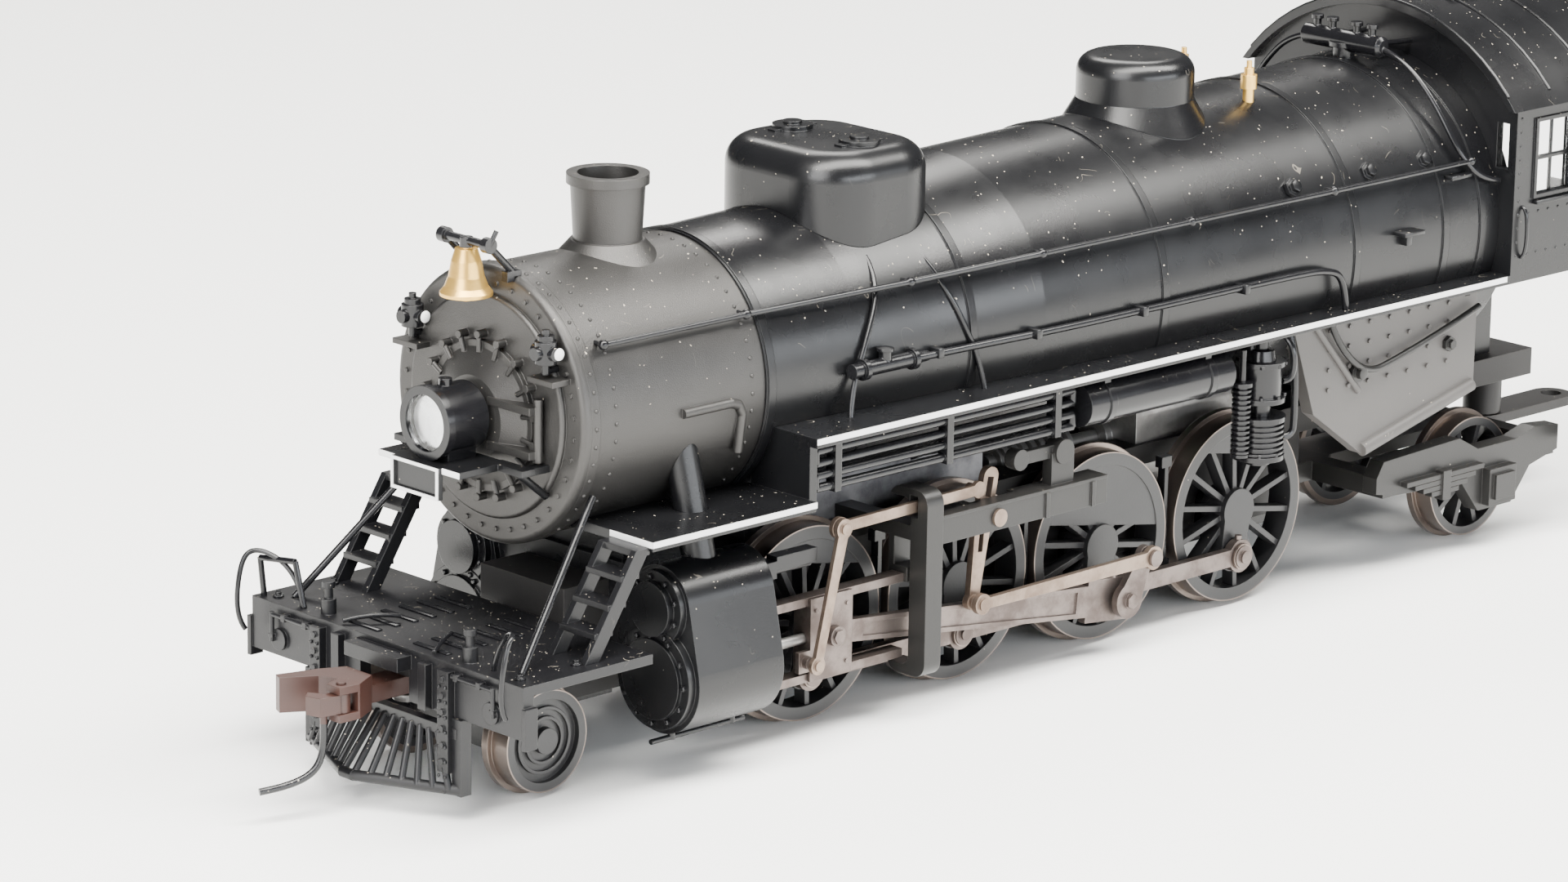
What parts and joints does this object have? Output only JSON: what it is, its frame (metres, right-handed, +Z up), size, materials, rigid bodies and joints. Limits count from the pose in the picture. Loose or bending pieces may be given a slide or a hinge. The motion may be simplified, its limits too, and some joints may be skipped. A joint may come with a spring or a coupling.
{
  "type": "model train locomotive",
  "caption": "HO-scale steam locomotive with spoked drivers, working rods and crossheads, trucks, a motor-and-worm drive in its boiler, a front coupler and a drawbar.",
  "frame": {"origin": "centre of the outline in plan, at the bottom of the wheel flanges", "axes": "+Z up, -X towards the front of the engine, -Y towards its left side"},
  "size_m": [0.1774, 0.0378, 0.0561],
  "materials": {
    "boiler_black": "satin moulded black plastic",
    "graphite": "graphite-grey metallic paint",
    "gloss_black": "gloss black plastic",
    "frame_metal": "blackened die-cast metal",
    "wheel_metal": "chemically blackened metal wheels with bright treads",
    "rod_nickel": "satin pinkish nickel",
    "gear_brass": "darkened brass-nickel strip",
    "brass": "satin gold paint",
    "clear": "clear plastic",
    "brown_plastic": "rust-brown plastic",
    "grey_plastic": "dark grey plastic",
    "lead": "bare cast weight",
    "motor_steel": "plated steel",
    "gear_plastic": "acetal plastic",
    "board_green": "solder-masked board",
    "screw_steel": "blackened steel"
  },
  "bodies": {
    "locomotive": {"chassis_frame": "frame_metal", "keeper_plate": "boiler_black", "screws": "screw_steel", "motor": "motor_steel", "ballast_weight": "lead", "circuit_board": "board_green", "boiler_shell": "boiler_black", "smokebox": "graphite", "smokebox_front": "graphite", "sand_dome": "boiler_black", "steam_dome": "boiler_black", "safety_valves": "brass", "headlight": "gloss_black", "headlight_lens": "clear", "headlight_bracket": "boiler_black", "bell": "brass", "marker_lamps": "gloss_black", "running_boards": "boiler_black", "pilot_deck": "boiler_black", "pilot": "boiler_black", "deck_ladders": "boiler_black", "handrails": "gloss_black", "air_reservoirs": "boiler_black", "air_pump": "boiler_black", "firebox_sides": "grey_plastic", "cab": "boiler_black", "cylinders": "boiler_black", "guide_bars": "rod_nickel", "motion_hanger": "grey_plastic", "expansion_links": "gear_brass", "radius_rods": "gear_brass", "combination_levers": "gear_brass"},
    "main_wheels": {"driver_set_3": "wheel_metal", "drive_gear": "gear_plastic", "return_cranks": "rod_nickel"},
    "wheels_1": {"driver_set_1": "wheel_metal"},
    "wheels_2": {"driver_set_2": "wheel_metal"},
    "wheels_4": {"driver_set_4": "wheel_metal"},
    "rotor": {"motor_rotor": "motor_steel"},
    "lead_truck": {"lead_truck": "boiler_black"},
    "lead_wheels": {"lead_wheelset": "wheel_metal"},
    "trailing_truck": {"trailing_truck": "grey_plastic"},
    "trailing_wheels": {"trailing_wheelset": "wheel_metal"},
    "coupler": {"coupler": "brown_plastic"},
    "knuckle": {"knuckle": "brown_plastic"},
    "drawbar": {"drawbar": "frame_metal"},
    "side_rod_left": {"side_rod_left": "rod_nickel"},
    "main_rod_left": {"main_rod_left": "rod_nickel"},
    "crosshead_left": {"crosshead_left": "rod_nickel"},
    "crosshead_pin_left": {"crosshead_pin_left": "rod_nickel"},
    "piston_rod_left": {"piston_rod_left": "motor_steel"},
    "rod_bush_left": {"rod_bush_left": "gear_brass"},
    "eccentric_rod_left": {"eccentric_rod_left": "gear_brass"},
    "side_rod_right": {"side_rod_right": "rod_nickel"},
    "main_rod_right": {"main_rod_right": "rod_nickel"},
    "crosshead_right": {"crosshead_right": "rod_nickel"},
    "crosshead_pin_right": {"crosshead_pin_right": "rod_nickel"},
    "piston_rod_right": {"piston_rod_right": "motor_steel"},
    "rod_bush_right": {"rod_bush_right": "gear_brass"},
    "eccentric_rod_right": {"eccentric_rod_right": "gear_brass"}
  },
  "joints": [
    {"name": "drive_axle", "type": "hinge", "parent": "locomotive", "child": "main_wheels", "pos_m": [0.00599, 0, 0.0097], "axis": [0, -1, 0], "continuous": true},
    {"name": "axle_1", "type": "hinge", "parent": "locomotive", "child": "wheels_1", "pos_m": [-0.03309, 0, 0.0097], "axis": [0, -1, 0], "continuous": true},
    {"name": "axle_2", "type": "hinge", "parent": "locomotive", "child": "wheels_2", "pos_m": [-0.01355, 0, 0.0097], "axis": [0, -1, 0], "continuous": true},
    {"name": "axle_4", "type": "hinge", "parent": "locomotive", "child": "wheels_4", "pos_m": [0.02553, 0, 0.0097], "axis": [0, -1, 0], "continuous": true},
    {"name": "motor_spin", "type": "hinge", "parent": "locomotive", "child": "rotor", "pos_m": [0.00599, 0, 0.01685], "axis": [1, 0, 0], "continuous": true},
    {"name": "side_rod_left", "type": "hinge", "parent": "main_wheels", "child": "side_rod_left", "pos_m": [0.00523, -0.01095, 0.0054], "axis": [0, -1, 0], "continuous": true},
    {"name": "eccentric_rod_left", "type": "hinge", "parent": "main_wheels", "child": "eccentric_rod_left", "pos_m": [0.00747, -0.0154, 0.00944], "axis": [0, -1, 0], "continuous": true},
    {"name": "crosshead_pin_left", "type": "hinge", "parent": "wheels_1", "child": "crosshead_pin_left", "pos_m": [-0.03347, -0.01305, 0.00755], "axis": [0, -1, 0], "continuous": true},
    {"name": "crosshead_left", "type": "hinge", "parent": "crosshead_pin_left", "child": "crosshead_left", "pos_m": [-0.03385, -0.01305, 0.0097], "axis": [0, -1, 0], "continuous": true},
    {"name": "piston_rod_left", "type": "hinge", "parent": "crosshead_left", "child": "piston_rod_left", "pos_m": [-0.03385, -0.01305, 0.0097], "axis": [1, 0, 0], "continuous": true},
    {"name": "rod_bush_left", "type": "hinge", "parent": "piston_rod_left", "child": "rod_bush_left", "pos_m": [-0.03385, -0.01305, 0.0097], "axis": [0.9984, -0.0097, -0.055], "continuous": true},
    {"name": "main_rod_left", "type": "hinge", "parent": "rod_bush_left", "child": "main_rod_left", "pos_m": [-0.03385, -0.01305, 0.0097], "axis": [0.994, 0, -0.1095], "continuous": true},
    {"name": "side_rod_right", "type": "hinge", "parent": "main_wheels", "child": "side_rod_right", "pos_m": [0.0103, 0.01095, 0.00894], "axis": [0, -1, 0], "continuous": true},
    {"name": "eccentric_rod_right", "type": "hinge", "parent": "main_wheels", "child": "eccentric_rod_right", "pos_m": [0.00625, 0.0154, 0.01118], "axis": [0, -1, 0], "continuous": true},
    {"name": "crosshead_pin_right", "type": "hinge", "parent": "wheels_1", "child": "crosshead_pin_right", "pos_m": [-0.03094, 0.01305, 0.00932], "axis": [0, -1, 0], "continuous": true},
    {"name": "crosshead_right", "type": "hinge", "parent": "crosshead_pin_right", "child": "crosshead_right", "pos_m": [-0.02878, 0.01305, 0.0097], "axis": [0, -1, 0], "continuous": true},
    {"name": "piston_rod_right", "type": "hinge", "parent": "crosshead_right", "child": "piston_rod_right", "pos_m": [-0.02878, 0.01305, 0.0097], "axis": [1, 0, 0], "continuous": true},
    {"name": "rod_bush_right", "type": "hinge", "parent": "piston_rod_right", "child": "rod_bush_right", "pos_m": [-0.02878, 0.01305, 0.0097], "axis": [0.9984, 0.055, -0.0097], "continuous": true},
    {"name": "main_rod_right", "type": "hinge", "parent": "rod_bush_right", "child": "main_rod_right", "pos_m": [-0.02878, 0.01305, 0.0097], "axis": [0.9998, 0, -0.0194], "continuous": true},
    {"name": "lead_truck_swing", "type": "hinge", "parent": "locomotive", "child": "lead_truck", "pos_m": [-0.05209, 0, 0.0066], "axis": [0, 0, 1], "range_deg": [-4, 4]},
    {"name": "lead_axle", "type": "hinge", "parent": "lead_truck", "child": "lead_wheels", "pos_m": [-0.06489, 0, 0.0052], "axis": [0, -1, 0], "continuous": true},
    {"name": "trailing_truck_swing", "type": "hinge", "parent": "locomotive", "child": "trailing_truck", "pos_m": [0.04353, 0, 0.009], "axis": [0, 0, 1], "range_deg": [-5, 5]},
    {"name": "trailing_axle", "type": "hinge", "parent": "trailing_truck", "child": "trailing_wheels", "pos_m": [0.06123, 0, 0.0067], "axis": [0, -1, 0], "continuous": true},
    {"name": "coupler_swing", "type": "hinge", "parent": "locomotive", "child": "coupler", "pos_m": [-0.07249, 0, 0.0104], "axis": [0, 0, 1], "range_deg": [-7, 7]},
    {"name": "knuckle_swing", "type": "hinge", "parent": "coupler", "child": "knuckle", "pos_m": [-0.08159, -0.0019, 0.0104], "axis": [0, 0, 1], "range_deg": [0, 20]},
    {"name": "drawbar_swing", "type": "hinge", "parent": "locomotive", "child": "drawbar", "pos_m": [0.07503, 0, 0.0082], "axis": [0, 0, 1], "range_deg": [-20, 20]}
  ],
  "couplings": [
    {"joint": "axle_1", "follows": "drive_axle", "ratio": 1},
    {"joint": "axle_2", "follows": "drive_axle", "ratio": 1},
    {"joint": "axle_4", "follows": "drive_axle", "ratio": 1},
    {"joint": "motor_spin", "follows": "drive_axle", "ratio": 24},
    {"joint": "side_rod_left", "follows": "drive_axle", "ratio": -1},
    {"joint": "eccentric_rod_left", "follows": "drive_axle", "ratio": -1},
    {"joint": "crosshead_pin_left", "follows": "drive_axle", "ratio": -2},
    {"joint": "crosshead_left", "follows": "drive_axle", "ratio": 1},
    {"joint": "piston_rod_left", "follows": "drive_axle", "ratio": 1},
    {"joint": "rod_bush_left", "follows": "drive_axle", "ratio": -2},
    {"joint": "main_rod_left", "follows": "drive_axle", "ratio": 1},
    {"joint": "side_rod_right", "follows": "drive_axle", "ratio": -1},
    {"joint": "eccentric_rod_right", "follows": "drive_axle", "ratio": -1},
    {"joint": "crosshead_pin_right", "follows": "drive_axle", "ratio": -2},
    {"joint": "crosshead_right", "follows": "drive_axle", "ratio": 1},
    {"joint": "piston_rod_right", "follows": "drive_axle", "ratio": 1},
    {"joint": "rod_bush_right", "follows": "drive_axle", "ratio": -2},
    {"joint": "main_rod_right", "follows": "drive_axle", "ratio": 1}
  ]
}
